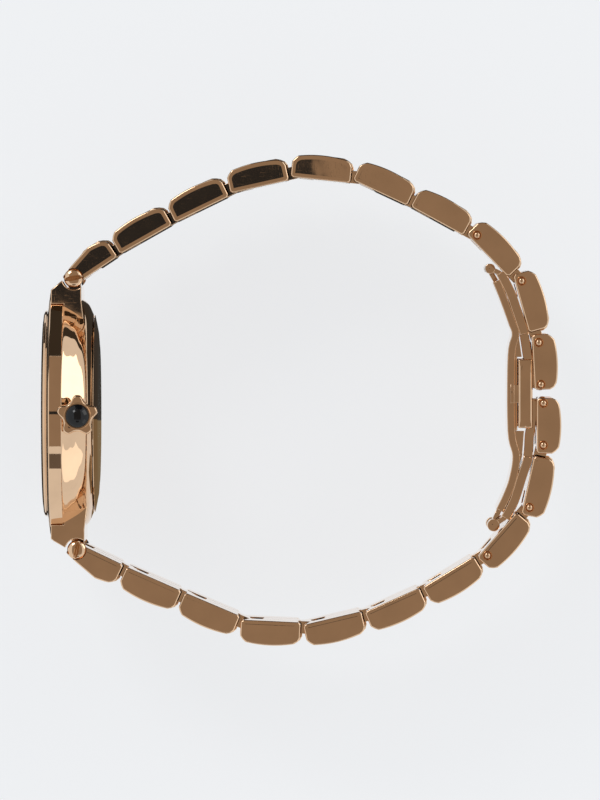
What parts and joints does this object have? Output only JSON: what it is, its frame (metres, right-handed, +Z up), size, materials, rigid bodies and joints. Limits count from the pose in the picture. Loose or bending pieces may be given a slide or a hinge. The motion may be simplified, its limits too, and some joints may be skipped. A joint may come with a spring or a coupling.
{
  "type": "wristwatch",
  "caption": "Analog quartz wristwatch on a closed link bracelet with a double folding clasp, a domed stone in a lobed crown, and hinged links; it lies on its side with the crown up.",
  "frame": {"origin": "centre of the watch's footprint on the ground it lies on, with the crown side up", "axes": "+Z up along the crown axis and every bracelet hinge, -Y the way the dial looks, +Y towards the clasp, -X towards 12 o'clock"},
  "size_m": [0.0636, 0.0672, 0.036],
  "materials": {
    "rose_gold": "polished rose gold plating on steel",
    "crystal": "clear polished",
    "gasket": "matte",
    "dial_face": "satin lacquer",
    "hand_metal": "polished rose gold plating",
    "gilt_brass": "fine grained",
    "bare_steel": "fine brushed",
    "magnet": "sintered, matte",
    "spacer_plastic": "moulded",
    "board": "solder mask",
    "copper_wire": "wound wire",
    "black_stone": "polished cabochon"
  },
  "bodies": {
    "case": {"mid_case": "rose_gold", "bezel": "rose_gold", "crystal": "crystal", "crystal_gasket": "gasket", "dial_ring": "dial_face", "dial": "dial_face", "dial_markers": "rose_gold", "movement_plate": "gilt_brass", "movement_ring": "spacer_plastic", "train_bridge": "gilt_brass", "circuit_board": "board", "coil": "copper_wire", "stator": "bare_steel", "battery": "bare_steel", "battery_clamp": "gilt_brass", "case_back": "rose_gold", "back_gasket": "gasket", "crown_tube": "rose_gold"},
    "setting_slide": {"setting_lever": "bare_steel"},
    "crown": {"crown": "rose_gold", "crown_stone": "black_stone", "stem": "bare_steel"},
    "minute_hand": {"minute_hand": "hand_metal"},
    "hour_hand": {"hour_hand": "hand_metal"},
    "minute_wheel": {"minute_wheel": "gilt_brass"},
    "setting_wheel": {"setting_wheel": "gilt_brass"},
    "rotor": {"rotor": "magnet"},
    "relay_wheel": {"relay_wheel": "gilt_brass"},
    "third_wheel": {"third_wheel": "gilt_brass"},
    "link_12_01": {"link_12_01": "rose_gold", "lug_screws_12": "rose_gold"},
    "link_12_02": {"link_12_02": "rose_gold"},
    "link_12_03": {"link_12_03": "rose_gold"},
    "link_12_04": {"link_12_04": "rose_gold"},
    "link_12_05": {"link_12_05": "rose_gold"},
    "link_12_06": {"link_12_06": "rose_gold"},
    "link_12_07": {"link_12_07": "rose_gold"},
    "link_12_08": {"link_12_08": "rose_gold"},
    "link_12_09": {"link_12_09": "rose_gold"},
    "link_12_10": {"link_12_10": "rose_gold"},
    "clasp_arm_12": {"clasp_arm_12": "rose_gold"},
    "clasp_base": {"clasp_base": "rose_gold", "clasp_pins": "bare_steel"},
    "link_06_01": {"link_06_01": "rose_gold", "lug_screws_06": "rose_gold"},
    "link_06_02": {"link_06_02": "rose_gold"},
    "link_06_03": {"link_06_03": "rose_gold"},
    "link_06_04": {"link_06_04": "rose_gold"},
    "link_06_05": {"link_06_05": "rose_gold"},
    "link_06_06": {"link_06_06": "rose_gold"},
    "link_06_07": {"link_06_07": "rose_gold"},
    "link_06_08": {"link_06_08": "rose_gold"},
    "link_06_09": {"link_06_09": "rose_gold"},
    "link_06_10": {"link_06_10": "rose_gold"},
    "clasp_arm_06": {"clasp_arm_06": "rose_gold"},
    "push_button_near": {"push_button_near": "rose_gold"},
    "push_button_far": {"push_button_far": "rose_gold"}
  },
  "joints": [
    {"name": "crown_pull", "type": "slide", "parent": "case", "child": "setting_slide", "axis": [0, 0, 1], "range_m": [0, 0.0008]},
    {"name": "crown_turn", "type": "hinge", "parent": "setting_slide", "child": "crown", "pos_m": [0.00178, -0.02876, 0.0333], "axis": [0, 0, 1], "continuous": true},
    {"name": "minute_turn", "type": "hinge", "parent": "case", "child": "minute_hand", "pos_m": [0.00178, -0.02983, 0.0163], "axis": [0, 1, 0], "continuous": true},
    {"name": "hour_turn", "type": "hinge", "parent": "case", "child": "hour_hand", "pos_m": [0.00178, -0.03093, 0.0163], "axis": [0, 1, 0], "continuous": true},
    {"name": "minute_wheel_turn", "type": "hinge", "parent": "case", "child": "minute_wheel", "pos_m": [0.00419, -0.02983, 0.0195], "axis": [0, 1, 0], "continuous": true},
    {"name": "setting_wheel_turn", "type": "hinge", "parent": "case", "child": "setting_wheel", "pos_m": [0.00303, -0.02983, 0.0234], "axis": [0, 1, 0], "continuous": true},
    {"name": "rotor_spin", "type": "hinge", "parent": "case", "child": "rotor", "pos_m": [-0.00371, -0.02913, 0.0203], "axis": [0, 1, 0], "continuous": true},
    {"name": "relay_wheel_turn", "type": "hinge", "parent": "case", "child": "relay_wheel", "pos_m": [-0.00171, -0.02913, 0.01985], "axis": [0, 1, 0], "continuous": true},
    {"name": "third_wheel_turn", "type": "hinge", "parent": "case", "child": "third_wheel", "pos_m": [0.00059, -0.02933, 0.0197], "axis": [0, 1, 0], "continuous": true},
    {"name": "hinge_12_01", "type": "hinge", "parent": "case", "child": "link_12_01", "pos_m": [-0.01587, -0.02953, 0.0163], "axis": [0, 0, -1], "range_deg": [-15.5, 1.5]},
    {"name": "hinge_12_02", "type": "hinge", "parent": "link_12_01", "child": "link_12_02", "pos_m": [-0.02023, -0.02301, 0.0163], "axis": [0, 0, -1], "range_deg": [-8.65, 1.5]},
    {"name": "hinge_12_03", "type": "hinge", "parent": "link_12_02", "child": "link_12_03", "pos_m": [-0.02429, -0.0158, 0.0163], "axis": [0, 0, -1], "range_deg": [-4.23, 1.5]},
    {"name": "hinge_12_04", "type": "hinge", "parent": "link_12_03", "child": "link_12_04", "pos_m": [-0.0279, -0.00836, 0.0163], "axis": [0, 0, -1], "range_deg": [-3.87, 1.5]},
    {"name": "hinge_12_05", "type": "hinge", "parent": "link_12_04", "child": "link_12_05", "pos_m": [-0.02971, -0.00029, 0.0163], "axis": [0, 0, -1], "range_deg": [-22.71, 1.5]},
    {"name": "hinge_12_06", "type": "hinge", "parent": "link_12_05", "child": "link_12_06", "pos_m": [-0.02886, 0.00793, 0.0163], "axis": [0, 0, -1], "range_deg": [-22.66, 1.5]},
    {"name": "hinge_12_07", "type": "hinge", "parent": "link_12_06", "child": "link_12_07", "pos_m": [-0.02536, 0.01543, 0.0163], "axis": [0, 0, -1], "range_deg": [-9.1, 1.5]},
    {"name": "hinge_12_08", "type": "hinge", "parent": "link_12_07", "child": "link_12_08", "pos_m": [-0.0214, 0.02269, 0.0163], "axis": [0, 0, -1], "range_deg": [-1.5, 3.53]},
    {"name": "hinge_12_09", "type": "hinge", "parent": "link_12_08", "child": "link_12_09", "pos_m": [-0.01549, 0.02847, 0.0163], "axis": [0, 0, -1], "range_deg": [-1.5, 2.5]},
    {"name": "hinge_12_10", "type": "hinge", "parent": "link_12_09", "child": "link_12_10", "pos_m": [-0.00752, 0.0307, 0.0163], "axis": [0, 0, -1], "range_deg": [-1.5, 16.8]},
    {"name": "hinge_arm_12", "type": "hinge", "parent": "link_12_10", "child": "clasp_arm_12", "pos_m": [-0.00208, 0.03099, 0.0163], "axis": [0, 0, -1], "range_deg": [-37.02, 1.5]},
    {"name": "clasp_open", "type": "hinge", "parent": "clasp_arm_12", "child": "clasp_base", "pos_m": [-0.01708, 0.02444, 0.0163], "axis": [0, 0, -1], "range_deg": [0, 110]},
    {"name": "hinge_06_01", "type": "hinge", "parent": "case", "child": "link_06_01", "pos_m": [0.01934, -0.02913, 0.0163], "axis": [0, 0, -1], "range_deg": [-15.5, 1.5]},
    {"name": "hinge_06_02", "type": "hinge", "parent": "link_06_01", "child": "link_06_02", "pos_m": [0.02273, -0.02205, 0.0163], "axis": [0, 0, -1], "range_deg": [-27.6, 1.5]},
    {"name": "hinge_06_03", "type": "hinge", "parent": "link_06_02", "child": "link_06_03", "pos_m": [0.02605, -0.01448, 0.0163], "axis": [0, 0, -1], "range_deg": [-15.53, 1.5]},
    {"name": "hinge_06_04", "type": "hinge", "parent": "link_06_03", "child": "link_06_04", "pos_m": [0.02928, -0.00687, 0.0163], "axis": [0, 0, -1], "range_deg": [-1.5, 2.29]},
    {"name": "hinge_06_05", "type": "hinge", "parent": "link_06_04", "child": "link_06_05", "pos_m": [0.02966, 0.0014, 0.0163], "axis": [0, 0, -1], "range_deg": [-1.5, 17.13]},
    {"name": "hinge_06_06", "type": "hinge", "parent": "link_06_05", "child": "link_06_06", "pos_m": [0.02775, 0.00944, 0.0163], "axis": [0, 0, -1], "range_deg": [-1.5, 14.1]},
    {"name": "hinge_06_07", "type": "hinge", "parent": "link_06_06", "child": "link_06_07", "pos_m": [0.02438, 0.01699, 0.0163], "axis": [0, 0, -1], "range_deg": [-1.5, 12.7]},
    {"name": "hinge_06_08", "type": "hinge", "parent": "link_06_07", "child": "link_06_08", "pos_m": [0.02008, 0.02406, 0.0163], "axis": [0, 0, -1], "range_deg": [-1.5, 3.35]},
    {"name": "hinge_06_09", "type": "hinge", "parent": "link_06_08", "child": "link_06_09", "pos_m": [0.01386, 0.02951, 0.0163], "axis": [0, 0, -1], "range_deg": [-1.5, 4.04]},
    {"name": "hinge_06_10", "type": "hinge", "parent": "link_06_09", "child": "link_06_10", "pos_m": [0.00579, 0.0313, 0.0163], "axis": [0, 0, -1], "range_deg": [-6.47, 1.5]},
    {"name": "hinge_arm_06", "type": "hinge", "parent": "link_06_10", "child": "clasp_arm_06", "pos_m": [0.00034, 0.03131, 0.0163], "axis": [0, 0, -1], "range_deg": [-1.5, 34.84]},
    {"name": "button_near", "type": "slide", "parent": "clasp_base", "child": "push_button_near", "axis": [0, 0, -1], "range_m": [0, 0.0006], "stiffness_N_per_m": 300},
    {"name": "button_far", "type": "slide", "parent": "clasp_base", "child": "push_button_far", "axis": [0, 0, 1], "range_m": [0, 0.0006], "stiffness_N_per_m": 300}
  ],
  "couplings": [
    {"joint": "minute_turn", "follows": "crown_turn", "ratio": 1},
    {"joint": "hour_turn", "follows": "crown_turn", "ratio": 0.083333},
    {"joint": "minute_wheel_turn", "follows": "crown_turn", "ratio": -0.33333},
    {"joint": "setting_wheel_turn", "follows": "crown_turn", "ratio": 1},
    {"joint": "relay_wheel_turn", "follows": "rotor_spin", "ratio": -0.11111},
    {"joint": "third_wheel_turn", "follows": "rotor_spin", "ratio": 0.020468},
    {"joint": "hinge_12_01", "follows": "clasp_open", "ratio": -0.12727},
    {"joint": "hinge_12_02", "follows": "clasp_open", "ratio": -0.064997},
    {"joint": "hinge_12_03", "follows": "clasp_open", "ratio": -0.024821},
    {"joint": "hinge_12_04", "follows": "clasp_open", "ratio": -0.021544},
    {"joint": "hinge_12_05", "follows": "clasp_open", "ratio": -0.19283},
    {"joint": "hinge_12_06", "follows": "clasp_open", "ratio": -0.19235},
    {"joint": "hinge_12_07", "follows": "clasp_open", "ratio": -0.069085},
    {"joint": "hinge_12_08", "follows": "clasp_open", "ratio": 0.018437},
    {"joint": "hinge_12_09", "follows": "clasp_open", "ratio": 0.009091},
    {"joint": "hinge_12_10", "follows": "clasp_open", "ratio": 0.13909},
    {"joint": "hinge_arm_12", "follows": "clasp_open", "ratio": -0.32289},
    {"joint": "hinge_06_01", "follows": "clasp_open", "ratio": -0.12727},
    {"joint": "hinge_06_02", "follows": "clasp_open", "ratio": -0.23727},
    {"joint": "hinge_06_03", "follows": "clasp_open", "ratio": -0.1275},
    {"joint": "hinge_06_04", "follows": "clasp_open", "ratio": 0.007159},
    {"joint": "hinge_06_05", "follows": "clasp_open", "ratio": 0.1421},
    {"joint": "hinge_06_06", "follows": "clasp_open", "ratio": 0.11455},
    {"joint": "hinge_06_07", "follows": "clasp_open", "ratio": 0.10182},
    {"joint": "hinge_06_08", "follows": "clasp_open", "ratio": 0.016806},
    {"joint": "hinge_06_09", "follows": "clasp_open", "ratio": 0.023116},
    {"joint": "hinge_06_10", "follows": "clasp_open", "ratio": -0.045147},
    {"joint": "hinge_arm_06", "follows": "clasp_open", "ratio": 0.30307}
  ]
}
